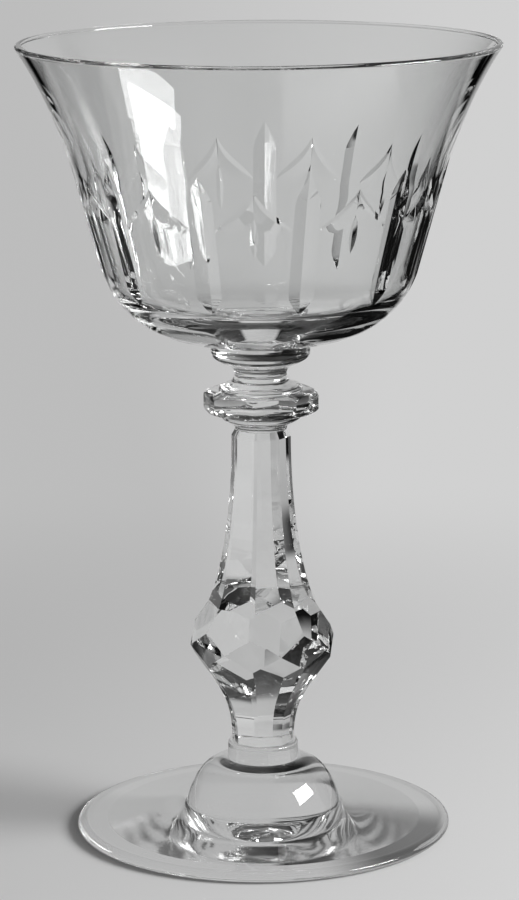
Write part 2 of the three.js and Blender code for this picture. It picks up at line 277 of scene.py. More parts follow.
class Sector:
    """One sector of a piece, as loose rows of points and the faces between them.

    Attributes:
        count: How many such sectors go round the axis.
        middle: Angle of the sector's middle about the axis.
        points: Corners made so far.
        faces: Corner numbers of each face.
        fused: For each face, whether it is fused to the next piece.
    """

    def __init__(self, count: int, middle: float) -> None:
        """Starts an empty sector.

        Args:
            count: How many such sectors go round the axis.
            middle: Angle of the sector's middle about the axis.
        """
        self.count = count
        self.middle = middle
        self.points: list[Vector] = []
        self.faces: list[tuple[int, ...]] = []
        self.fused: list[bool] = []

    @property
    def half(self) -> float:
        """Half of the sector's angle."""
        return math.pi / self.count

    def angles(self) -> list[float]:
        """Angles of the columns from the sector's middle."""
        return [self.half * (2 * column / SECTOR_COLUMNS - 1) for column in range(SECTOR_COLUMNS + 1)]

    def add(self, angle: float, radius: float, height: float) -> int:
        """Adds a corner.

        Args:
            angle: Angle from the sector's middle.
            radius: Distance from the axis.
            height: Height above the table.

        Returns:
            The corner's number.
        """
        turn = self.middle + angle
        self.points.append(Vector((radius * math.cos(turn), radius * math.sin(turn), height)))
        return len(self.points) - 1

    def axis_point(self, height: float) -> list[int]:
        """Adds a corner on the axis, as a row of one."""
        return [self.add(0.0, 0.0, height)]

    def ring(self, radius: float, height: float) -> list[int]:
        """Adds a row of corners on a round ring."""
        return [self.add(angle, radius, height) for angle in self.angles()]

    def eight_ring(self, radius: float, height: float) -> list[int]:
        """Adds a row of corners on an eight-sided ring of that corner radius."""
        return [self.add(angle, eight_sided(radius, angle), height) for angle in self.angles()]

    def face(self, corners: Iterable[int], fused: bool = False) -> None:
        """Adds a face whose corners run anticlockwise as seen from outside."""
        self.faces.append(tuple(corners))
        self.fused.append(fused)

    def join(self, lower: Sequence[int], upper: Sequence[int], fused: bool = False) -> None:
        """Fills the strip between two rows.

        Args:
            lower: Row that comes first along the outline.
            upper: Row that comes next.
            fused: Whether the strip is fused to the next piece.
        """
        for column in range(max(len(lower), len(upper)) - 1):
            if len(lower) == 1:
                self.face((lower[0], upper[column + 1], upper[column]), fused)
            elif len(upper) == 1:
                self.face((lower[column], lower[column + 1], upper[0]), fused)
            else:
                self.face((lower[column], lower[column + 1], upper[column + 1], upper[column]), fused)

    def join_rows(self, rows: Sequence[Sequence[int]]) -> None:
        """Fills the strips between rows that follow each other."""
        for lower, upper in zip(rows, rows[1:]):
            self.join(lower, upper)

    def rings(self, outline: Outline) -> list[list[int]]:
        """Adds a row for each point of an outline and joins them.

        Args:
            outline: Half section, from one end to the other.

        Returns:
            The rows, in the outline's order.
        """
        rows = []
        for radius, height in outline.points:
            rows.append(self.ring(radius, height) if radius > WELD else self.axis_point(height))
        self.join_rows(rows)
        return rows

    def close(self, first: Sequence[int], last: Sequence[int]) -> None:
        """Closes both ends of a piece with faces that are fused to its neighbours.

        Args:
            first: Lowest row of the piece.
            last: Highest row.
        """
        self.join(self.axis_point(self.points[first[0]].z), first, fused=True)
        self.join(last, self.axis_point(self.points[last[0]].z), fused=True)

    def mesh(self, name: str) -> bpy.types.Mesh:
        """Makes the mesh of the sector.

        Args:
            name: Name of the mesh.

        Returns:
            The mesh, with a face attribute that marks the fused faces.
        """
        mesh = bpy.data.meshes.new(name)
        mesh.from_pydata(self.points, [], self.faces)
        marks = mesh.attributes.new(FUSED, "BOOLEAN", "FACE")
        marks.data.foreach_set("value", self.fused)
        return mesh


class Wire:
    """A socket of a shader tree that can be used in arithmetic.

    Attributes:
        tree: Tree that the socket belongs to.
        socket: The output socket.
    """

    def __init__(self, tree: "ShaderTree", socket: bpy.types.NodeSocket) -> None:
        """Wraps an output socket."""
        self.tree = tree
        self.socket = socket

    def __add__(self, other: "Value") -> "Wire":
        """Sum."""
        return self.tree.maths("ADD", self, other)

    __radd__ = __add__

    def __mul__(self, other: "Value") -> "Wire":
        """Product."""
        return self.tree.maths("MULTIPLY", self, other)

    __rmul__ = __mul__

    def __sub__(self, other: "Value") -> "Wire":
        """Difference."""
        return self.tree.maths("SUBTRACT", self, other)

    def __rsub__(self, other: "Value") -> "Wire":
        """Difference from a value."""
        return self.tree.maths("SUBTRACT", other, self)

    def __truediv__(self, other: "Value") -> "Wire":
        """Quotient."""
        return self.tree.maths("DIVIDE", self, other)

    def __rtruediv__(self, other: "Value") -> "Wire":
        """Quotient of a value."""
        return self.tree.maths("DIVIDE", other, self)


Value = Union[float, int, tuple, Wire]


class ShaderTree:
    """A node tree that is written as expressions.

    Attributes:
        tree: The node tree of a material or of the world.
    """

    def __init__(self, tree: bpy.types.NodeTree) -> None:
        """Empties the tree."""
        self.tree = tree
        tree.nodes.clear()

    def node(
        self,
        kind: str,
        settings: Optional[dict] = None,
        sockets: Optional[dict] = None,
        output: Union[int, str] = 0,
    ) -> Wire:
        """Adds a node.

        Args:
            kind: Blender's name for the type of node.
            settings: Properties of the node, set first. Stops are those of a colour ramp.
            sockets: Values or links of its inputs, by name or number.
            output: Name or number of the output that is wanted.

        Returns:
            The output, ready for arithmetic.
        """
        made = self.tree.nodes.new(kind)
        for name, setting in (settings or {}).items():
            if name == "stops":
                self.set_stops(made.color_ramp, setting)
            else:
                setattr(made, name, setting)
        for name, value in (sockets or {}).items():
            if isinstance(value, Wire):
                self.tree.links.new(value.socket, made.inputs[name])
            else:
                made.inputs[name].default_value = value
        return Wire(self, made.outputs[output]) if len(made.outputs) else None

    def maths(self, operation: str, first: Value, second: Value) -> Wire:
        """Adds a Math node on two values or links."""
        return self.node("ShaderNodeMath", {"operation": operation}, {0: first, 1: second})

    def axes(self, vector: Wire) -> list[Wire]:
        """Splits a vector into X, Y and Z."""
        split = self.node("ShaderNodeSeparateXYZ", None, {0: vector}).socket.node
        return [Wire(self, axis) for axis in split.outputs]

    def length(self, vector: Wire) -> Wire:
        """Gives the length of a vector."""
        return self.node("ShaderNodeVectorMath", {"operation": "LENGTH"}, {0: vector}, "Value")

    def noise(self, place: Wire, size: float, detail: float, distortion: float = 0.0) -> Wire:
        """Adds soft noise.

        Args:
            place: Coordinates.
            size: Width of its largest clouds.
            detail: How many finer layers it has.
            distortion: How far the clouds are drawn out into cords.

        Returns:
            The noise, from 0 to 1.
        """
        return self.node("ShaderNodeTexNoise", None, {
            "Vector": place, "Scale": 1 / size, "Detail": detail, "Distortion": distortion,
        })

    def step(self, value: Wire, low: float, high: float, first: float = 0.0, last: float = 1.0) -> Wire:
        """Adds a smooth step.

        Args:
            value: Value that is followed.
            low: Value where the step starts.
            high: Value where it ends.
            first: Level before the step.
            last: Level after it.

        Returns:
            The level.
        """
        return self.node("ShaderNodeMapRange", {"interpolation_type": "SMOOTHSTEP"}, {
            "Value": value, "From Min": low, "From Max": high, "To Min": first, "To Max": last,
        })

    @staticmethod
    def set_stops(ramp: bpy.types.ColorRamp, stops: Sequence[tuple[float, float]]) -> None:
        """Sets the stops of a colour ramp from places and grey levels.

        Args:
            ramp: The colour ramp.
            stops: Place and grey level of each stop.
        """
        while len(ramp.elements) < len(stops):
            ramp.elements.new(1.0)
        for element, (place, grey) in zip(ramp.elements, stops):
            element.position = place
            element.color = (grey, grey, grey, 1.0)


def new_material(name: str) -> tuple[bpy.types.Material, ShaderTree]:
    """Makes a material and the empty tree that it is written in.

    Args:
        name: Name of the material.

    Returns:
        The material and its tree.
    """
    material = bpy.data.materials.new(name)
    material.use_nodes = True
    return material, ShaderTree(material.node_tree)


class Grain(Enum):
    """How a finish was worked: how far its pattern of soft waves is squeezed along each axis."""

    SPUN = (1.0, 1.0, 3.0)
    CUT = (1.0, 1.0, 0.3)
    BLOWN = (1.0, 1.0, 0.7)


@dataclass(frozen=True)
class Crystal:
    """Clear crystal, polished, with the faint marks of how it was worked.

    Attributes:
        name: Name of the material.
        grain: How the surface was worked.
        ripple_size: Width of the soft waves on the surface.
        ripple_depth: Height of those waves.
        tint: Colour that each surface leaves in the light.
        index: Refractive index of the crystal.
        film_roughness: Roughness where the faint film of handling is thickest.
        wear_roughness: Roughness of the outer part of the underside, worn by standing on tables.
        shade: Share of lamp light that each surface lets through to the table.
        cord_size: Width of the cords in the melt.
        cord_level: Share of the tint that the densest cords leave.
        film_size: Width of the patches of film.
        film_edge: Levels of noise between which a patch of film thickens.
        wear_height: Heights between which the wear ends.
        wear_reach: Distances between which it begins.
    """

    name: str
    grain: Grain
    ripple_size: float = 14 * MM
    ripple_depth: float = 0.03 * MM
    tint: tuple[float, float, float] = (0.985, 0.99, 0.988)
    index: float = 1.53
    film_roughness: float = 0.012
    wear_roughness: float = 0.0
    shade: float = 0.9
    cord_size: float = 9 * MM
    cord_level: float = 0.985
    film_size: float = 16 * MM
    film_edge: Span = (0.45, 0.75)
    wear_height: Span = (0.5 * MM, 0.9 * MM)
    wear_reach: Span = (17 * MM, 25 * MM)

    def material(self) -> bpy.types.Material:
        """Makes the material.

        Returns:
            The crystal, as glass that lets lamp light through to the table.
        """
        material, tree = new_material(self.name)
        place = tree.node("ShaderNodeTexCoord", output="Object")
        glass = tree.node("ShaderNodeBsdfPrincipled", None, {
            "Base Color": self.colour(tree, place),
            "Roughness": self.film(tree, place),
            "IOR": self.index,
            "Transmission Weight": 1.0,
            "Normal": self.ripple(tree, place),
        })
        clear = tree.node("ShaderNodeBsdfTransparent", None, {"Color": (self.shade,) * 3 + (1.0,)})
        shadow = tree.node("ShaderNodeLightPath", output="Is Shadow Ray")
        diffuse = tree.node("ShaderNodeLightPath", output="Is Diffuse Ray")
        lit = tree.node("ShaderNodeMixShader", None, {0: shadow, 1: glass, 2: clear})
        shader = tree.node("ShaderNodeMixShader", None, {0: diffuse, 1: lit, 2: clear})
        tree.node("ShaderNodeOutputMaterial", None, {"Surface": shader})
        return material

    def colour(self, tree: ShaderTree, place: Wire) -> Wire:
        """Faint cords of slightly denser glass in the melt.

        Args:
            tree: Tree of the material.
            place: Object coordinates.

        Returns:
            Colour for the glass.
        """
        cords = tree.noise(place, self.cord_size, detail=2.0, distortion=1.5)
        return tree.node("ShaderNodeMix", {"data_type": "RGBA"}, {
            "Factor": cords,
            "A": tuple(self.cord_level * part for part in self.tint) + (1.0,),
            "B": self.tint + (1.0,),
        }, "Result")

    def film(self, tree: ShaderTree, place: Wire) -> Wire:
        """Faint film of handling, in patches, and any wear underneath.

        Args:
            tree: Tree of the material.
            place: Object coordinates.

        Returns:
            Roughness for the glass.
        """
        patches = tree.noise(place, self.film_size, detail=3.0)
        stops = tuple(zip(self.film_edge, (0.0, 1.0)))
        film = tree.node("ShaderNodeValToRGB", {"stops": stops}, {"Fac": patches}) * self.film_roughness
        return film + self.wear(tree, place) if self.wear_roughness else film

    def wear(self, tree: ShaderTree, place: Wire) -> Wire:
        """Dullness of the underside, which starts round the button and goes out to the edge.

        Args:
            tree: Tree of the material.
            place: Object coordinates.

        Returns:
            Roughness to add.
        """
        _, _, height = tree.axes(place)
        under = tree.step(height, *self.wear_height, self.wear_roughness, 0.0)
        return under * tree.step(tree.length(place), *self.wear_reach)

    def ripple(self, tree: ShaderTree, place: Wire) -> Wire:
        """Soft waves left by the tools that worked the glass.

        Args:
            tree: Tree of the material.
            place: Object coordinates.

        Returns:
            Normal for the glass.
        """
        squeezed = tree.node("ShaderNodeMapping", None, {"Vector": place, "Scale": self.grain.value})
        waves = tree.noise(squeezed, self.ripple_size, detail=1.0)
        return tree.node("ShaderNodeBump", None, {
            "Strength": 1.0, "Distance": self.ripple_depth, "Height": waves,
        })


@dataclass(frozen=True)
class FusedFace:
    """Face where two bits of glass are fused, which shows no surface at all.

    Attributes:
        name: Name of the material.
    """

    name: str = "fused_face"

    def material(self) -> bpy.types.Material:
        """Makes the fully clear material.

        Returns:
            The material.
        """
        material, tree = new_material(self.name)
        clear = tree.node("ShaderNodeBsdfTransparent", None, {"Color": (1.0, 1.0, 1.0, 1.0)})
        tree.node("ShaderNodeOutputMaterial", None, {"Surface": clear})
        return material


class RoundRepeat:
    """Geometry Nodes tree that repeats one sector round the axis and gives it its materials.

    Attributes:
        tree: The node group, made once.
        inputs: Identifier of each named input.
    """

    def __init__(self) -> None:
        """Builds the node group."""
        self.tree = bpy.data.node_groups.new("round_repeat", "GeometryNodeTree")
        face = self.tree.interface
        self.inputs: dict[str, str] = {}
        face.new_socket("Geometry", in_out="INPUT", socket_type="NodeSocketGeometry")
        for name, kind in (
            ("Count", "NodeSocketInt"),
            ("Weld", "NodeSocketFloat"),
            ("Crystal", "NodeSocketMaterial"),
            ("Fused", "NodeSocketMaterial"),
        ):
            made = face.new_socket(name, in_out="INPUT", socket_type=kind)
            self.inputs[name] = made.identifier
        face.new_socket("Geometry", in_out="OUTPUT", socket_type="NodeSocketGeometry")
        self.link()

    def add(
        self, kind: str, sockets: Optional[dict] = None, **settings: object
    ) -> Optional[bpy.types.NodeSocket]:
        """Adds a node.

        Args:
            kind: Blender's name for the type of node.
            sockets: Links or values of its inputs, by name or number.
            **settings: Properties of the node, set first.

        Returns:
            Its first output, if it has any.
        """
        made = self.tree.nodes.new(kind)
        for name, setting in settings.items():
            setattr(made, name, setting)
        for name, value in (sockets or {}).items():
            if isinstance(value, bpy.types.NodeSocket):
                self.tree.links.new(value, made.inputs[name])
            else:
                made.inputs[name].default_value = value
        return made.outputs[0] if len(made.outputs) else None

    def link(self) -> None:
        """Adds the nodes: one turned instance for each sector, realised, welded and dressed."""
        given = self.tree.nodes.new("NodeGroupInput").outputs
        index = self.add("GeometryNodeInputIndex")
        pitch = self.add("ShaderNodeMath", {0: 2 * math.pi, 1: given["Count"]}, operation="DIVIDE")
        turn = self.add("ShaderNodeMath", {0: index, 1: pitch}, operation="MULTIPLY")
        euler = self.add("ShaderNodeCombineXYZ", {"Z": turn})
        rotation = self.add("FunctionNodeEulerToRotation", {0: euler})
        stations = self.add("GeometryNodePoints", {"Count": given["Count"]})
        copies = self.add("GeometryNodeInstanceOnPoints", {
            "Points": stations, "Instance": given["Geometry"], "Rotation": rotation,
        })
        real = self.add("GeometryNodeRealizeInstances", {0: copies})
        whole = self.add("GeometryNodeMergeByDistance", {"Geometry": real, "Distance": given["Weld"]})
        clear = self.add("GeometryNodeSetMaterial", {"Geometry": whole, "Material": given["Crystal"]})
        marks = self.add("GeometryNodeInputNamedAttribute", {"Name": FUSED}, data_type="BOOLEAN")
        dressed = self.add("GeometryNodeSetMaterial", {
            "Geometry": clear, "Selection": marks, "Material": given["Fused"],
        })
        self.add("NodeGroupOutput", {0: dressed})

    def apply(
        self, name: str, sector: Sector, crystal: bpy.types.Material, fused: bpy.types.Material
    ) -> bpy.types.Object:
        """Makes a whole piece from its sector.

        Args:
            name: Name of the piece.
            sector: One sector of it.
            crystal: Material of its surface.
            fused: Material of its fused faces.

        Returns:
            The piece, as a plain mesh with smooth faces and sharp creases.
        """
        piece = bpy.data.objects.new(name, sector.mesh(name + "_sector"))
        bpy.context.collection.objects.link(piece)
        modifier = piece.modifiers.new("round_repeat", "NODES")
        modifier.node_group = self.tree
        for key, value in (
            ("Count", sector.count), ("Weld", WELD), ("Crystal", crystal), ("Fused", fused),
        ):
            modifier[self.inputs[key]] = value
        graph = bpy.context.evaluated_depsgraph_get()
        mesh = bpy.data.meshes.new_from_object(piece.evaluated_get(graph))
        mesh.name = name
        piece.modifiers.remove(modifier)
        piece.data = mesh
        mesh.shade_smooth()
        mesh.set_sharp_from_angle(angle=CREASE)
        return piece


@dataclass
class Workshop:
    """What every piece needs to be finished.

    Attributes:
        repeat: Tree that repeats sectors.
        fused: Material of the fused faces.
    """

    repeat: RoundRepeat
    fused: bpy.types.Material

    def finish(self, pieces: dict[str, Sector], crystal: Crystal) -> None:
        """Makes pieces from their sectors and gives each its place in the frame.

        Args:
            pieces: Sector of each piece, by the name of the node that it stands for.
            crystal: Their finish.
        """
        material = crystal.material()
        for name, sector in pieces.items():
            piece = self.repeat.apply(name + "_glass", sector, material, self.fused)
            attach(piece, BODY)
            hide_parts(name)
            log.info("%s: %d faces", piece.name, len(piece.data.polygons))


def stem_sector() -> Sector:
    """A sector of the stem's pieces, with a corner of the cut stem in its middle."""
    return Sector(STEM_SIDES, FRONT + STEM_TURN)


@dataclass
class Foot:
    """Spun foot and the bell-shaped button on it.

    Attributes:
        edge_thickness: Thickness at the foot's round edge.
        crown_rise: Rise of its top from the edge to the flare.
        flare_run: Width of the flare round the button.
        rest_inset: Distance of the rest ring from the edge.
        rest_width: Width of the rest ring.
        hollow_depth: Depth of the hollow underside.
        pad_radius: Radius of the button where it meets the foot.
        seat_radius: Radius of the stem ring's seat.
    """

    slot: ClassVar[Slot] = Slot.FOOT
    edge_thickness: float = 2.2 * MM
    crown_rise: float = 2.2 * MM
    flare_run: float = 5.0 * MM
    rest_inset: float = 2.2 * MM
    rest_width: float = 4.0 * MM
    hollow_depth: float = 0.35 * MM
    pad_radius: float = 15.6 * MM
    seat_radius: float = 7.2 * MM

    def build(self, shop: Workshop) -> None:
        """Builds and dresses both pieces."""
        crystal = Crystal("spun_crystal", Grain.SPUN, ripple_size=20 * MM, wear_roughness=0.07, shade=0.45)
        shop.finish({"foot": self.disc(), "foot_button": self.button()}, crystal)

    def disc(self) -> Sector:
        """Hollow underside, rest ring, round edge, sloping top and flare.

        Returns:
            Sector of the foot.
        """
        level = Level.of("foot")
        rest_outer = level.radius - self.rest_inset
        outline = Outline().to(0.0, level.bottom + self.hollow_depth)
        outline.sweep(rest_outer - self.rest_width, level.bottom, Bend.HOLLOW_OF_FOOT)
        outline.to(rest_outer, level.bottom)
        outline.sweep(level.radius, level.bottom + self.edge_thickness / 2, Bend.LEVEL_TO_UPRIGHT)
        outline.sweep(rest_outer, level.bottom + self.edge_thickness, Bend.UPRIGHT_TO_LEVEL)
        outline.to(self.pad_radius + self.flare_run, level.bottom + self.edge_thickness + self.crown_rise)
        outline.sweep(self.pad_radius, level.top, Bend.FLARE_OF_FOOT)
        sector = stem_sector()
        rows = sector.rings(outline)
        sector.join(rows[-1], sector.axis_point(level.top), fused=True)
        return sector

    def button(self) -> Sector:
        """Bell with a steep side that rounds over to the seat of the stem ring.

        Returns:
            Sector of the foot's button.
        """
        level = Level.of("foot_button")
        outline = Outline().to(self.pad_radius, level.bottom)
        outline.sweep(self.seat_radius, level.top, Bend.DOME_OF_FOOT_BUTTON, 2 * CURVE_STEPS)
        return fused_ends(outline)


def fused_ends(outline: Outline) -> Sector:
    """Sector of a turned piece that is fused to its neighbours at both ends.

    Args:
        outline: Half section from its lower end to its upper end.

    Returns:
        The sector, with both ends closed.
    """
    sector = stem_sector()
    rows = sector.rings(outline)
    sector.close(rows[0], rows[-1])
    return sector


@dataclass
class Stem:
    """Cut baluster, with the ring under it and the buttons, wafer and collar above it.

    Attributes:
        ring_seat_radius: Radius of the ring where it meets the foot button.
        ring_ledge: How far the ring stands out from the shank's corners.
        ring_round: Radius of the ring's edge.
        foot_across_flats: Size of the shank at its foot.
        foot_height: Height of the shank up to the bulb.
        lower_edge_across_flats: Size at the lower edge of the bulb.
        girdle_across_flats: Size of the bulb at its girdle.
        lower_height: Height of the bulb under its girdle.
        upper_height: Height of the bulb over its girdle.
        upper_edge_across_flats: Size at the upper edge of the bulb.
        top_across_flats: Size of the shank under its top bevel.
        bevel_height: Height of the top bevel.
        neck_radius: Radius between the shank and its button.
        button_radius: Radius of the button under the wafer.
        wafer_blank_radius: Radius of the wafer before it was cut.
        wafer_across_flats: Size of the wafer across its flats.
        wafer_edge_height: Height of the wafer's edge before it was cut.
        wafer_lower_bevel: Height of the round under the wafer's edge.
        collar_radius: Radius of the collar on the wafer.
        collar_edge: Height of the collar's edge.
        collar_round: Radius of the collar's edge.
        waist_radius: Radius of the waist under the bowl's button.
    """

    slot: ClassVar[Slot] = Slot.STEM
    ring_seat_radius: float = 7.2 * MM
    ring_ledge: float = 0.25 * MM
    ring_round: float = 0.5 * MM
    foot_across_flats: float = 11.6 * MM
    foot_height: float = 12.0 * MM
    lower_edge_across_flats: float = 18.0 * MM
    girdle_across_flats: float = 29.8 * MM
    lower_height: float = 8.9 * MM
    upper_height: float = 7.9 * MM
    upper_edge_across_flats: float = 20.0 * MM
    top_across_flats: float = 11.0 * MM
    bevel_height: float = 1.4 * MM
    neck_radius: float = 5.15 * MM
    button_radius: float = 8.3 * MM
    wafer_blank_radius: float = 11.6 * MM
    wafer_across_flats: float = 21.3 * MM
    wafer_edge_height: float = 2.2 * MM
    wafer_lower_bevel: float = 1.1 * MM
    collar_radius: float = 8.4 * MM
    collar_edge: float = 0.9 * MM
    collar_round: float = 0.9 * MM
    waist_radius: float = 5.2 * MM

    def build(self, shop: Workshop) -> None:
        """Builds and dresses the five pieces.

        Args:
            shop: What finishes the pieces.
        """
        crystal = Crystal("cut_crystal", Grain.CUT, ripple_size=5 * MM, ripple_depth=0.04 * MM, shade=0.6)
        pieces = {
            "stem_ring": self.ring(),
            "stem_shank": self.shank(),
            "stem_button": self.button(),
            "cut_wafer": self.wafer(),
            "neck_collar": self.collar(),
        }
        shop.finish(pieces, crystal)

    def ring(self) -> Sector:
        """Collar that flares on to the foot button, with a flat top round the shank's foot.

        Returns:
            Sector of the ring.
        """
        level = Level.of("stem_ring")
        corner = corner_radius(self.foot_across_flats)
        top = corner + self.ring_ledge
        outline = Outline().to(self.ring_seat_radius, level.bottom)
        outline.sweep(top + self.ring_round, level.top - self.ring_round, Bend.SIDE_OF_RING)
        outline.sweep(top, level.top, Bend.UPRIGHT_TO_LEVEL)
        sector = stem_sector()
        rows = sector.rings(outline)
        seat = sector.eight_ring(corner, level.top)
        sector.join(rows[-1], seat)
        sector.close(rows[0], seat)
        return sector

    def shank_outline(self) -> Outline:
        """Radii of the shank's corners, before the diamonds are cut.

        Returns:
            Corner radii and heights, from the shank's foot to its top.
        """
        level = Level.of("stem_shank")
        lower_edge = level.bottom + self.foot_height
        girdle = lower_edge + self.lower_height
        upper_edge = girdle + self.upper_height
        outline = Outline().to(corner_radius(self.foot_across_flats), level.bottom)
        outline.sweep(corner_radius(self.lower_edge_across_flats), lower_edge, Bend.SHANK_BELOW_BULB)
        outline.to(corner_radius(self.girdle_across_flats), girdle)
        outline.to(corner_radius(self.upper_edge_across_flats), upper_edge)
        outline.sweep(corner_radius(self.top_across_flats), level.top - self.bevel_height,
                      Bend.SHANK_ABOVE_BULB, 2 * CURVE_STEPS)
        return outline.to(self.neck_radius, level.top)

    def shank(self) -> Sector:
        """Eight-sided baluster whose bulb has its corners cut off, one diamond for each.

        Returns:
            Sector of the shank, with a diamond in its middle.
        """
        half_side = math.pi / STEM_SIDES
        cut = self.girdle_across_flats / 2 * math.cos(half_side)
        corners = self.with_diamond_points(self.shank_outline().points, cut)
        sector = stem_sector()
        rows = []
        for corner, height in corners:
            flat = corner * math.cos(half_side)
            if corner > cut + WELD:
                reach = math.atan2((flat - cut * math.cos(half_side)) / math.sin(half_side), cut)
                edge = cut / math.cos(reach)
            else:
                reach, edge = 0.0, corner
            rows.append([
                sector.add(-half_side, flat, height),
                sector.add(-reach, edge, height),
                sector.add(reach, edge, height),
                sector.add(half_side, flat, height),
            ])
        sector.join_rows(rows)
        sector.close(rows[0], rows[-1])
        return sector

    @staticmethod
    def with_diamond_points(points: Sequence[Point], cut: float) -> list[Point]:
        """Adds the heights where the diamonds have their upper and lower points.

        Args:
            points: Radii and heights of the corners.
            cut: Distance of the diamonds from the axis.

        Returns:
            The points, with one more wherever a corner crosses that distance.
        """
        full = [points[0]]
        for (radius, height), (next_radius, next_height) in zip(points, points[1:]):
            if (radius - cut) * (next_radius - cut) < 0:
                share = (cut - radius) / (next_radius - radius)
                full.append((cut, height + share * (next_height - height)))
            full.append((next_radius, next_height))
        return full

    def button(self) -> Sector:
        """Round button that swells from the neck, over the shank's eight-sided top.

        Returns:
            Sector of the stem's button.
        """
        level = Level.of("stem_button")
        outline = Outline().to(self.neck_radius, level.bottom)
        outline.sweep(self.button_radius, level.top, Bend.UPRIGHT_SWELL)
        sector = stem_sector()
        rows = sector.rings(outline)
        seat = sector.eight_ring(self.neck_radius, level.bottom)
        sector.join(seat, rows[0])
        sector.close(seat, rows[-1])
        return sector

    def wafer(self) -> Sector:
        """Disc with round bevels, and upright flats that meet at the sector's middle.

        Returns:
            Sector of the wafer.
        """
        level = Level.of("cut_wafer")
        edge_bottom = level.bottom + self.wafer_lower_bevel
        edge_top = edge_bottom + self.wafer_edge_height
        under = Sweep((self.button_radius, level.bottom), (self.wafer_blank_radius, edge_bottom),
                      Bend.LEVEL_TO_UPRIGHT)
        over = Sweep((self.collar_radius, level.top), (self.wafer_blank_radius, edge_top),
                     Bend.LEVEL_TO_UPRIGHT)
        corner = corner_radius(self.wafer_across_flats)
        sector = stem_sector()
        columns = []
        for angle in sector.angles():
            flat = eight_sided(corner, angle)
            lower = self.up_to_radius(under, flat)
            upper = self.up_to_radius(over, flat)
            column = lower + upper[::-1]
            columns.append([sector.add(angle, radius, height) for radius, height in column])
        rows = [list(row) for row in zip(*columns)]
        sector.join_rows(rows)
        sector.close(rows[0], rows[-1])
        return sector

    @staticmethod
    def up_to_radius(curve: Sweep, limit: float) -> list[Point]:
        """Points of a curve that runs outwards, up to a radius.

        Args:
            curve: Curve whose radius grows from its start.
            limit: Radius where a flat cuts it off.

        Returns:
            Evenly spread points, the last of them on the flat.
        """
        last = find_share(lambda share: curve.at(share)[0] < limit)
        return [curve.at(last * step / CURVE_STEPS) for step in range(CURVE_STEPS + 1)]

    def collar(self) -> Sector:
        """Round-edged collar, drawn in to the waist.

        Returns:
            Sector of the collar.
        """
        level = Level.of("neck_collar")
        outline = Outline().to(self.collar_radius, level.bottom)
        outline.sweep(self.collar_radius - self.collar_round, level.bottom + self.collar_edge,
                      Bend.UPRIGHT_TO_LEVEL)
        outline.sweep(self.waist_radius, level.top, Bend.NECK_ABOVE_COLLAR)
        return fused_ends(outline)


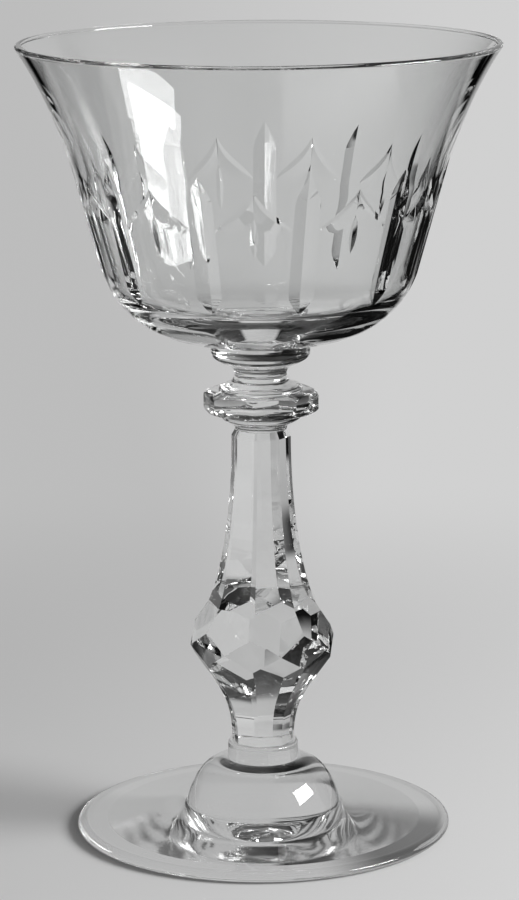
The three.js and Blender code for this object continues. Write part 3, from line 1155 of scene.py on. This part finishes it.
@dataclass
class CutBand:
    """Cut pattern of the bowl, drawn flat on one sector: across from its middle, and up.

    Distances across are true at the reference radius. Each cut is a groove with two walls that meet at a
    bottom line.

    Attributes:
        count: How many times the pattern goes round.
        turn: Angle of the first lancet from the front.
        reference: Radius at which distances across are true.
        bottom: Height of the lower border of the drawing.
        top: Height of its upper border.
        lancet_tip: Height of the lancets' tips.
        lancet_arch: Height of the pointed arch at the tip.
        lancet_toe: Height of the pointed end at the foot.
        lancet_foot: Height of the lancets' feet.
        lancet_top_half_width: Half of their width under the arch.
        lancet_foot_half_width: Half of their width above the toe.
        lancet_slope: Slope of their two walls into the glass.
        wing_start: Height where a wing leaves a lancet.
        wing_tip: Height of the spike where two wings meet.
        wing_upper_width: Width of a wing's upper wall.
        wing_lower_width: Width of its lower wall.
        wing_depth: Depth of its bottom line.
        wing_opening: Power that sets how soon a wing opens: the smaller, the sooner.
        mitre_top: Height of the upper end of the short mitre under the spike.
        mitre_bottom: Height of its lower end.
        mitre_half_width: Half of its width.
        mitre_slope: Slope of its two walls.
        steps: Points along each stretch of a cut.
        spacing: Distance between the rows of plain points.
        clearance: Distance that plain points keep from the cuts.
    """

    count: int = 11
    turn: float = math.radians(14.5)
    reference: float = 33.8 * MM
    bottom: float = 108.6 * MM
    top: float = 141.0 * MM
    lancet_tip: float = 137.2 * MM
    lancet_arch: float = 5.6 * MM
    lancet_toe: float = 4.0 * MM
    lancet_foot: float = 110.0 * MM
    lancet_top_half_width: float = 2.35 * MM
    lancet_foot_half_width: float = 2.75 * MM
    lancet_slope: float = 0.36
    wing_start: float = 126.6 * MM
    wing_tip: float = 134.4 * MM
    wing_upper_width: float = 1.0 * MM
    wing_lower_width: float = 1.9 * MM
    wing_depth: float = 0.28 * MM
    wing_opening: float = 0.6
    mitre_top: float = 129.4 * MM
    mitre_bottom: float = 121.5 * MM
    mitre_half_width: float = 0.8 * MM
    mitre_slope: float = 0.5
    steps: int = 14
    spacing: float = 0.8 * MM
    clearance: float = 0.3 * MM

    def __post_init__(self) -> None:
        """Starts an empty drawing."""
        self.places: list[tuple[float, float, float]] = []
        self.edges: list[tuple[int, int]] = []

    @property
    def half(self) -> float:
        """Half of the width of one pattern."""
        return math.pi / self.count * self.reference

    def lancet_width(self, height: float) -> float:
        """Half width of a lancet at a height.

        Args:
            height: Height above the table.

        Returns:
            The half width, nought beyond both ends.
        """
        shoulder = (self.lancet_top_half_width, self.lancet_tip - self.lancet_arch)
        ankle = (self.lancet_foot_half_width, self.lancet_foot + self.lancet_toe)
        if height >= self.lancet_tip or height <= self.lancet_foot:
            return 0.0
        if height > shoulder[1]:
            return Sweep(shoulder, (0.0, self.lancet_tip), Bend.ARCH_OF_LANCET).radius_at(height)
        if height < ankle[1]:
            return Sweep(ankle, (0.0, self.lancet_foot), Bend.ARCH_OF_LANCET).radius_at(height)
        return Sweep(ankle, shoulder, Bend.STRAIGHT).radius_at(height)

    def lancet_heights(self) -> list[float]:
        """Heights of the points along a lancet, from its foot to its tip.

        Returns:
            The heights, evenly spread between the places where the outline changes.
        """
        stops = (self.lancet_foot, self.lancet_foot + self.lancet_toe, self.wing_start,
                 self.lancet_tip - self.lancet_arch, self.lancet_tip)
        heights = [self.lancet_foot]
        for low, high in zip(stops, stops[1:]):
            heights += [low + (high - low) * step / self.steps for step in range(1, self.steps + 1)]
        return heights

    def mitre_width(self, height: float) -> float:
        """Half width of the short mitre at a height.

        Args:
            height: Height above the table.

        Returns:
            The half width, nought beyond both ends.
        """
        middle = (self.mitre_top + self.mitre_bottom) / 2
        share = abs(height - middle) / (self.mitre_top - middle)
        return self.mitre_half_width * max(0.0, 1 - share * share)

    def wing_line(self) -> list[tuple[Vector, float]]:
        """Bottom line of a wing and how far it has opened, from the lancet to the spike.

        Returns:
            Each place on the line, and its opening from 0 to 1.
        """
        start = (self.lancet_width(self.wing_start), self.wing_start)
        curve = Sweep(start, (self.half, self.wing_tip), Bend.WING)
        count = 2 * self.steps
        line = []
        for step in range(count + 1):
            opened = max(0.0, math.sin(math.pi * step / count)) ** self.wing_opening
            line.append((Vector(curve.at(step / count)), opened))
        return line

    def is_in_wing(self, across: float, height: float) -> bool:
        """Whether a place is in a wing or within the clearance of it.

        Args:
            across: Distance from the middle of the sector.
            height: Height above the table.

        Returns:
            True if it is.
        """
        place = Vector((abs(across), height))
        line = self.wing_line()
        for (first, opened), (second, _) in zip(line, line[1:]):
            along = second - first
            share = max(0.0, min(1.0, (place - first).dot(along) / along.length_squared))
            offset = place - first - share * along
            above = along.x * offset.y - along.y * offset.x > 0
            width = self.wing_upper_width if above else self.wing_lower_width
            if offset.length < opened * width + self.clearance:
                return True
        return False

    def is_plain(self, across: float, height: float) -> bool:
        """Whether a place is clear of every cut.

        Args:
            across: Distance from the middle of the sector.
            height: Height above the table.

        Returns:
            True if it is.
        """
        spare = self.clearance
        in_lancet = (abs(across) < self.lancet_width(height) + spare
                     and self.lancet_foot - spare < height < self.lancet_tip + spare)
        in_mitre = (self.half - abs(across) < self.mitre_width(height) + spare
                    and self.mitre_bottom - spare < height < self.mitre_top + spare)
        return not in_lancet and not in_mitre and not self.is_in_wing(across, height)

    def add(self, across: float, height: float, depth: float = 0.0) -> int:
        """Adds a point to the drawing, or finds the one that is there.

        Args:
            across: Distance from the middle of the sector.
            height: Height above the table.
            depth: Depth under the plain face of the bowl.

        Returns:
            The point's number.
        """
        for number, (other, level, _) in enumerate(self.places):
            if abs(other - across) < WELD and abs(level - height) < WELD:
                return number
        self.places.append((across, height, depth))
        return len(self.places) - 1

    def chain(self, points: Sequence[int]) -> None:
        """Adds the edges of a line through points."""
        self.edges += [pair for pair in zip(points, points[1:]) if pair[0] != pair[1]]

    def draw_lancet(self, side: int) -> None:
        """Draws the half of the lancet on one side of the sector's middle.

        Args:
            side: 1 or -1.
        """
        widths = [(height, self.lancet_width(height)) for height in self.lancet_heights()]
        self.chain([self.add(0.0, height, self.lancet_slope * width) for height, width in widths])
        self.chain([self.add(side * width, height) for height, width in widths])

    def draw_wing(self, side: int) -> None:
        """Draws the wing on one side, up to the border where it meets its neighbour's.

        Args:
            side: 1 or -1.
        """
        line = self.wing_line()
        bottoms, uppers, lowers = [], [], []
        crossed = False
        for step, (place, opened) in enumerate(line):
            before = line[max(0, step - 1)][0]
            after = line[min(len(line) - 1, step + 1)][0]
            along = (after - before).normalized()
            normal = Vector((-along.y, along.x)) * opened
            upper = place + normal * self.wing_upper_width
            lower = place - normal * self.wing_lower_width
            bottoms.append(self.add(side * place.x, place.y, self.wing_depth * opened))
            uppers.append(self.add(side * upper.x, upper.y))
            if not crossed:
                crossed = lower.x >= self.half - self.clearance
                lowers.append(self.add(side * (self.half if crossed else lower.x), lower.y))
        for points in (bottoms, uppers, lowers):
            self.chain(points)

    def draw_mitre(self, side: int) -> None:
        """Draws the half of the short mitre on one border.

        Args:
            side: 1 or -1.
        """
        span = self.mitre_top - self.mitre_bottom
        heights = [self.mitre_bottom + span * step / self.steps for step in range(self.steps + 1)]
        widths = [(height, self.mitre_width(height)) for height in heights]
        slope = self.mitre_slope
        self.chain([self.add(side * self.half, height, slope * width) for height, width in widths])
        self.chain([self.add(side * (self.half - width), height) for height, width in widths])

    def draw_borders(self) -> None:
        """Draws the plain points between the cuts, and the four borders."""
        rows = round((self.top - self.bottom) / self.spacing)
        for row in range(rows + 1):
            height = self.bottom + (self.top - self.bottom) * row / rows
            for column in range(SECTOR_COLUMNS + 1):
                across = self.half * (2 * column / SECTOR_COLUMNS - 1)
                if row in (0, rows) or self.is_plain(across, height):
                    self.add(across, height)
        for axis, border in ((1, self.bottom), (1, self.top), (0, -self.half), (0, self.half)):
            on_border = [
                number for number, place in enumerate(self.places) if abs(place[axis] - border) < WELD
            ]
            self.chain(sorted(on_border, key=lambda number: self.places[number][1 - axis]))

    def draw(self) -> list[tuple[int, ...]]:
        """Draws the whole pattern of one sector.

        Returns:
            The triangles of the drawing, as numbers of its places.
        """
        for side in (1, -1):
            self.draw_lancet(side)
            self.draw_wing(side)
            self.draw_mitre(side)
        self.draw_borders()
        flat = [Vector((across / MM, height / MM)) for across, height, _ in self.places]
        _, _, faces, sources, _, _ = delaunay_2d_cdt(flat, self.edges, [], 0, SAME_PLACE)
        return [tuple(sources[corner][0] for corner in face) for face in faces]


@dataclass
class Bowl:
    """Flared bowl with its cut band, and the round button under it.

    Attributes:
        waist_radius: Radius of the button where it meets the neck.
        button_radius: Radius of the button's upright edge.
        button_edge: Height of that edge.
        base_height: Height of the round base.
        band_bottom_radius: Radius at the lower edge of the band.
        band_height: Height of the band.
        band_top_radius: Radius at its upper edge.
        floor_thickness: Thickness of the glass at the bottom of the bowl.
        band_wall: Thickness of the wall at the band.
        rim_wall: Thickness of the wall at the rim.
        band: The cut pattern.
    """

    slot: ClassVar[Slot] = Slot.BOWL
    waist_radius: float = 5.2 * MM
    button_radius: float = 9.9 * MM
    button_edge: float = 2.0 * MM
    base_height: float = 13.6 * MM
    band_bottom_radius: float = 30.9 * MM
    band_height: float = 20.6 * MM
    band_top_radius: float = 36.6 * MM
    floor_thickness: float = 5.2 * MM
    band_wall: float = 2.3 * MM
    rim_wall: float = 1.3 * MM
    band: CutBand = field(default_factory=CutBand)

    def __post_init__(self) -> None:
        """Lays out the curves of the bowl between the levels of the frame."""
        level = Level.of("bowl")
        self.level = level
        self.lip = self.rim_wall / 2
        self.base = Sweep((self.button_radius, level.bottom),
                          (self.band_bottom_radius, level.bottom + self.base_height), Bend.BASE_OF_BOWL)
        self.side = Sweep(self.base.end, (self.band_top_radius, self.base.end[1] + self.band_height),
                          Bend.STRAIGHT)
        self.flare = Sweep(self.side.end, (level.radius, level.top - self.lip), Bend.FLARE_OF_BOWL)

    def build(self, shop: Workshop) -> None:
        """Builds and dresses both pieces."""
        crystal = Crystal("blown_crystal", Grain.BLOWN)
        shop.finish({"bowl_button": self.button(), "bowl": self.cup()}, crystal)

    def button(self) -> Sector:
        """Round underside that swells from the waist to an upright edge.

        Returns:
            Sector of the bowl's button.
        """
        level = Level.of("bowl_button")
        outline = Outline().to(self.waist_radius, level.bottom)
        outline.sweep(self.button_radius, level.top - self.button_edge, Bend.UPRIGHT_SWELL)
        outline.to(self.button_radius, level.top)
        return fused_ends(outline)

    def outer_radius(self, height: float) -> float:
        """Radius of the plain outer face at a height.

        Args:
            height: Height above the table.

        Returns:
            The radius before cutting.
        """
        for curve in (self.base, self.side, self.flare):
            if height <= curve.end[1]:
                return curve.radius_at(height)
        return self.flare.end[0]

    def cup(self) -> Sector:
        """Outer face with its cutting, lip, and inner face down to the floor.

        Returns:
            Sector of the bowl.
        """
        band = self.band
        sector = Sector(band.count, FRONT + band.turn)
        base = Outline([self.base.start])
        base.points += self.base.points_to(band.bottom, CURVE_STEPS)
        rows = sector.rings(base)
        sector.join(sector.axis_point(self.level.bottom), rows[0], fused=True)
        triangles = band.draw()
        corners = [
            sector.add(across / band.reference, self.outer_radius(height) - depth, height)
            for across, height, depth in band.places
        ]
        for triangle in triangles:
            sector.face(corners[place] for place in triangle)
        sector.rings(self.upper_outline())
        return sector

    def upper_outline(self) -> Outline:
        """Flare above the cutting, lip, and the whole inner face.

        Returns:
            Half section from the top of the cutting, over the lip, to the axis.
        """
        rim = self.level.radius
        top = self.level.top
        outline = Outline(self.flare.points_from(self.band.top, CURVE_STEPS))
        outline.sweep(rim - self.lip, top, Bend.UPRIGHT_TO_LEVEL, CURVE_STEPS // 2)
        outline.sweep(rim - self.rim_wall, top - self.lip, Bend.LEVEL_TO_UPRIGHT, CURVE_STEPS // 2)
        outline.sweep(self.band_top_radius - self.band_wall, self.side.end[1], Bend.INSIDE_OF_FLARE)
        outline.sweep(self.band_bottom_radius - self.band_wall, self.side.start[1], Bend.STRAIGHT)
        floor = self.level.bottom + self.floor_thickness
        return outline.sweep(0.0, floor, Bend.INSIDE_OF_BASE, 2 * CURVE_STEPS)


@dataclass(frozen=True)
class PaintedPatch:
    """A patch on the floor beside or under the glass, dark as painted shade or pale as painted light, which
    only the glass shows.

    Attributes:
        start: Angle where it starts, from straight behind the glass round to the right, in degrees.
        end: Angle where it ends.
        inner: Distance of its near edge from the axis.
        outer: Distance of its far edge.
        grey: Grey of the patch: low for painted shade, high for painted light.
        soft: Distance over which its near edge fades, to each side.
        soft_turn: Angle over which its sides fade, to each side.
        mirrored: Whether it shows only in light that was mirrored on its way.
        fade: Distance where its far edge has faded, as a multiple of outer.
    """

    start: float
    end: float
    inner: float
    outer: float
    grey: float = 0.005
    soft: float = 0.03
    soft_turn: float = 2.0
    mirrored: bool = False
    fade: float = 1.3

    def share(self, tree: ShaderTree, angle: Wire, reach: Wire) -> Wire:
        """Where the painted patch lies.

        Args:
            tree: Tree of the floor's material.
            angle: Angle from straight behind the glass, in radians.
            reach: Distance from the axis.

        Returns:
            One on the painted patch and nought elsewhere.
        """
        start, end, soft = (math.radians(turn) for turn in (self.start, self.end, self.soft_turn))
        begun = tree.step(angle, start - soft, start + soft)
        ended = tree.step(angle, end - soft, end + soft)
        beyond = tree.step(reach, self.inner - self.soft, self.inner + self.soft)
        within = tree.step(reach, self.outer, self.fade * self.outer, 1.0, 0.0)
        share = begun * (1 - ended) * beyond * within
        if not self.mirrored:
            return share
        mirrors = tree.node("ShaderNodeLightPath", output="Glossy Depth")
        return share * tree.maths("MINIMUM", mirrors, 1.0)


@dataclass(frozen=True)
class Paper:
    """Pale paper of the studio, lit near the glass; far away it glows with painted light, brighter on the
    right where the key stands.

    Attributes:
        name: Name of the material.
        grey: Mean grey of the paper.
        mottle: How far the grey goes up and down.
        mottle_size: Width of the clouds of that grey.
        near: Distance from the glass where the paper is still lit by the lamps alone.
        far: Distance from which it only glows, at a level that no longer changes with distance.
        left_level: Level of the painted light far away on the left of the portrait.
        right_level: Level of the painted light far away on its right, brighter towards the key.
        turn: How far to each side of the middle the level changes, as a share of the distance.
        painted_patches: Painted shade and painted light that only the glass shows: dark patches at both
            sides,
        grey ones in front, a painted shadow under the foot's right front, and painted light under the rest
        of the foot, where light gathers through it.
        gaps: How many gaps go across all the painted patches, evenly round the glass from the back.
        gap: Half of the width of a gap far from the glass.
        gap_soft: Width over which its edges fade.
        gap_start: Distance where the gaps start.
        gap_open: Distance from which they are fully open.
    """

    name: str = "sweep_paper"
    grey: float = 0.74
    mottle: float = 0.008
    mottle_size: float = 1 / 3
    near: float = 0.08
    far: float = 0.32
    left_level: float = 0.5
    right_level: float = 0.63
    turn: float = 0.11
    painted_patches: tuple[PaintedPatch, ...] = (
        PaintedPatch(22, 31, 0.44, 0.5),
        PaintedPatch(31, 85, 0.27, 0.7),
        PaintedPatch(85, 165, 0.15, 0.7, mirrored=True),
        PaintedPatch(40, 58, 0.05, 0.13, soft=0.01),
        PaintedPatch(-75, -39, 0.26, 0.55),
        PaintedPatch(-39, -22, 0.43, 0.5),
        PaintedPatch(-32, -14, 0.1, 0.15, soft=0.01),
        PaintedPatch(12, 85, 0.05, 0.25, mirrored=True),
        PaintedPatch(-85, -12, 0.05, 0.25, mirrored=True),
        PaintedPatch(165, 200, 0.06, 1.2, grey=0.1, mirrored=True),
        PaintedPatch(-200, -95, 0.06, 1.2, grey=0.1, mirrored=True),
        PaintedPatch(90, 150, -0.1, 0.034, grey=0.12, soft_turn=14),
        PaintedPatch(-220, 90, -0.1, 0.034, grey=0.5, soft_turn=14),
        PaintedPatch(150, 220, -0.1, 0.034, grey=0.5, soft_turn=14),
    )
    gaps: int = 8
    gap: float = 0.034
    gap_soft: float = 0.02
    gap_start: float = 0.42
    gap_open: float = 0.48

    def material(self) -> bpy.types.Material:
        """Makes the material.

        Returns:
            Paper with its painted patches.
        """
        material, tree = new_material(self.name)
        place = tree.node("ShaderNodeTexCoord", output="Object")
        across, away, _ = tree.axes(place)
        reach = tree.length(place)
        # Far paper glows with painted light, graded from the left level to the brighter right level, as the
        # key on the right would light it.
        level = tree.step(across / (reach + TINY), -self.turn, self.turn, self.left_level, self.right_level)
        even = tree.step(reach, self.near, self.far)
        cloud = tree.noise(place, self.mottle_size, detail=4.0)
        lit = (1 - even) * (cloud * (2 * self.mottle) + (self.grey - self.mottle))
        paper = tree.node("ShaderNodeBsdfPrincipled", None, {
            "Base Color": lit, "Emission Color": level * even, "Emission Strength": 1.0,
            "Roughness": 0.9, "Specular IOR Level": 0.1,
        })
        shader = self.with_painted_patches(tree, paper, tree.maths("ARCTAN2", across, away), reach)
        tree.node("ShaderNodeOutputMaterial", None, {"Surface": shader})
        return material

    def with_painted_patches(self, tree: ShaderTree, paper: Wire, angle: Wire, reach: Wire) -> Wire:
        """Lays the painted shade and light of the patches on the paper, for light that has passed through
        the glass or was mirrored in it.

        Args:
            tree: Tree of the material.
            paper: Shader of the plain paper.
            angle: Angle from straight behind the glass, in radians.
            reach: Distance from the axis.

        Returns:
            Shader of the paper with the painted patches.
        """
        shares = [painted_patch.share(tree, angle, reach) for painted_patch in self.painted_patches]
        covered = sum(shares)
        grey = sum(share * painted_patch.grey for share, painted_patch in zip(shares, self.painted_patches))
        pitch = 2 * math.pi / self.gaps
        from_gap = tree.maths("PINGPONG", angle / pitch, 0.5) * pitch * reach
        opened = tree.step(reach, self.gap_start, self.gap_open, -self.gap_soft, self.gap)
        beside = tree.step(from_gap - opened, 0.0, self.gap_soft)
        mirrored = tree.node("ShaderNodeLightPath", output="Is Glossy Ray")
        passed = tree.node("ShaderNodeLightPath", output="Is Transmission Ray")
        shown = tree.maths("MAXIMUM", mirrored, passed)
        # The patches glow as painted shade and painted light, for glossy and transmission rays only.
        painted_patch = tree.node("ShaderNodeEmission", None, {"Color": grey / (covered + TINY)})
        return tree.node("ShaderNodeMixShader", None, {0: covered * beside * shown, 1: paper, 2: painted_patch})


def direction(azimuth: float, elevation: float) -> Vector:
    """Unit vector from the glass.

    Args:
        azimuth: Angle from the viewer round to the right, in degrees.
        elevation: Angle above the table, in degrees.

    Returns:
        The vector.
    """
    turn = math.radians(azimuth)
    rise = math.radians(elevation)
    return Vector((math.sin(turn) * math.cos(rise), -math.cos(turn) * math.cos(rise), math.sin(rise)))


@dataclass(frozen=True)
class Lamp:
    """A soft rectangular lamp that looks at the glass.

    Attributes:
        name: Name of the lamp.
        azimuth: Direction from the glass, from the viewer round to the right, in degrees.
        elevation: Height above the table, in degrees.
        distance: Distance from the glass.
        width: Width of the lamp.
        height: Height of the lamp.
        watts: Power of the lamp.
        mirrored: Whether the glass shows the lamp.
    """

    name: str
    azimuth: float
    elevation: float
    distance: float
    width: float
    height: float
    watts: float
    mirrored: bool = True

    def build(self, aim: Vector) -> None:
        """Makes the lamp, which looks at a point.

        Args:
            aim: The point.
        """
        light = bpy.data.lights.new(self.name, "AREA")
        light.shape = "RECTANGLE"
        light.size = self.width
        light.size_y = self.height
        light.energy = self.watts
        lamp = bpy.data.objects.new(self.name, light)
        bpy.context.collection.objects.link(lamp)
        back = direction(self.azimuth, self.elevation)
        lamp.location = aim + back * self.distance
        lamp.rotation_euler = back.to_track_quat("Z", "Y").to_euler()
        lamp.visible_camera = False
        lamp.visible_glossy = self.mirrored
        lamp.visible_transmission = self.mirrored


@dataclass
class Studio:
    """Pale floor, soft lamps, dark room and the camera of the portrait.

    Attributes:
        floor_radius: Radius of the floor.
        floor_sides: Sides of its edge.
        horizon: Grey of the room where the camera itself looks at it.
        left: Grey of the dark room on the left.
        front: Grey of the room in front.
        right: Grey of the lit wall on the right.
        upper_right: Grey high above that wall.
        back: Grey of the room behind the glass.
        upper_back: Grey high above that.
        right_edge: How far to the right the wall begins and is fully lit.
        right_top: How high it begins to darken and is at its darkest.
        front_edge: How far to the back the dim front begins to darken and ends.
        back_edge: How far to the back the pale part begins and is full.
        back_top: How high the pale part begins to darken and is at its darkest.
        back_spread: How far the pale part reaches to the left, low down and higher up.
        back_rise: Heights between which that reach changes.
        back_soft: How far the left edge of the pale part fades, to each side.
        flags: Azimuth, elevation and radius of two round dark flags, on the right and low on the left.
        flag_fade: Where a flag's edge begins and ends, as shares of its radius.
        lamps: A softbox on the right, and a fill from above that the glass doesn't show.
        eye: Place of the camera.
        tilt: How far the camera looks down.
        roll: How far it leans.
        focal_pixels: Focal length in pixels of the portrait.
        portrait_height: Height of the portrait in pixels.
    """

    floor_radius: float = 9.0
    floor_sides: int = 96
    horizon: float = 0.54
    left: float = 0.004
    front: float = 0.03
    right: float = 0.45
    upper_right: float = 0.08
    back: float = 0.5
    upper_back: float = 0.04
    right_edge: Span = (0.0, 0.65)
    right_top: Span = (0.57, 0.97)
    front_edge: Span = (-0.4, -0.1)
    back_edge: Span = (0.2, 0.6)
    back_top: Span = (0.34, 0.64)
    back_spread: Span = (0.3, 0.1)
    back_rise: Span = (0.12, 0.26)
    back_soft: float = 0.06
    flags: tuple[tuple[float, float, float], ...] = ((116, 12, 13), (193.4, 3.2, 2.6))
    flag_fade: Span = (1.25, 0.77)
    lamps: tuple[Lamp, ...] = (
        Lamp("key_softbox", azimuth=76, elevation=25, distance=0.8, width=0.46, height=0.28, watts=9.2),
        Lamp("overhead_fill", azimuth=180, elevation=75, distance=1.6, width=2.0, height=2.0, watts=1.5,
             mirrored=False),
    )
    eye: tuple[float, float, float] = (-0.34 * MM, -677 * MM, 223.6 * MM)
    tilt: float = math.radians(12.15)
    roll: float = math.radians(-0.357)
    focal_pixels: float = 3478.0
    portrait_height: float = 900.0

    def build(self) -> None:
        """Builds the studio."""
        aim = (CAD_BOX[0] + CAD_BOX[1]) / 2
        self.floor()
        self.world()
        self.camera()
        for lamp in self.lamps:
            lamp.build(aim)

    def floor(self) -> None:
        """Makes the round floor, which is no part of the glass."""
        corners = range(self.floor_sides)
        mesh = bpy.data.meshes.new("studio_floor")
        rim = [direction(360 * corner / self.floor_sides, 0) * self.floor_radius for corner in corners]
        mesh.from_pydata(rim, [], [corners])
        mesh.materials.append(Paper().material())
        floor = bpy.data.objects.new(mesh.name, mesh)
        bpy.context.collection.objects.link(floor)

    def world(self) -> None:
        """Makes the room: dark on the left, dim in front, lit on the right and pale behind."""
        world = bpy.data.worlds.new("studio_room")
        bpy.context.scene.world = world
        world.use_nodes = True
        tree = ShaderTree(world.node_tree)
        way = tree.node("ShaderNodeTexCoord", output="Generated")
        across, away, rise = tree.axes(way)
        lit = tree.step(across, *self.right_edge)
        wall = tree.step(rise, *self.right_top, self.right, self.upper_right)
        dark = tree.step(away, *self.front_edge, self.front, self.left)
        spread = tree.step(rise, *self.back_rise, *self.back_spread)
        beside = tree.step(across + away * spread, -self.back_soft, self.back_soft)
        behind = tree.step(away, *self.back_edge) * beside
        pale = tree.step(rise, *self.back_top, self.back, self.upper_back)
        direct = tree.node("ShaderNodeLightPath", output="Is Camera Ray")
        sides = dark * (1 - lit) + wall * lit
        inside = sides * (1 - behind) + behind * pale
        for azimuth, elevation, radius in self.flags:
            towards = tree.node("ShaderNodeVectorMath", {"operation": "DOT_PRODUCT"},
                                {0: way, 1: direction(azimuth, elevation)}, "Value")
            outer, inner = (math.cos(math.radians(share * radius)) for share in self.flag_fade)
            inside = inside * tree.step(towards, outer, inner, 1.0, 0.0)
        level = inside * (1 - direct) + direct * self.horizon
        room = tree.node("ShaderNodeBackground", None, {"Color": level, "Strength": 1.0})
        tree.node("ShaderNodeOutputWorld", None, {"Surface": room})

    def camera(self) -> None:
        """Makes the camera of the portrait."""
        lens = bpy.data.cameras.new("portrait")
        lens.sensor_width = 36.0
        lens.lens = self.focal_pixels * lens.sensor_width / self.portrait_height
        lens.clip_start = 0.01
        lens.clip_end = 40.0
        camera = bpy.data.objects.new("portrait", lens)
        bpy.context.collection.objects.link(camera)
        turn = Matrix.Rotation(math.pi / 2 - self.tilt, 4, "X") @ Matrix.Rotation(self.roll, 4, "Z")
        camera.matrix_world = Matrix.Translation(self.eye) @ turn
        bpy.context.scene.camera = camera


def set_light_paths(bounces: int = 24) -> None:
    """Lets light pass through all the walls and fused faces of the glass.

    Args:
        bounces: How many surfaces may pass or mirror a ray.
    """
    cycles = bpy.context.scene.cycles
    cycles.max_bounces = bounces
    cycles.transmission_bounces = bounces
    cycles.glossy_bounces = bounces
    cycles.transparent_max_bounces = 2 * bounces


def main() -> None:
    """Builds the glass and the studio."""
    logging.basicConfig(level=logging.INFO, format="%(name)s %(message)s")
    shop = Workshop(RoundRepeat(), FusedFace().material())
    Foot().build(shop)
    Stem().build(shop)
    Bowl().build(shop)
    Studio().build()
    set_light_paths()
    bpy.context.scene.view_settings.view_transform = "Standard"


if __name__ == "__main__":
    main()
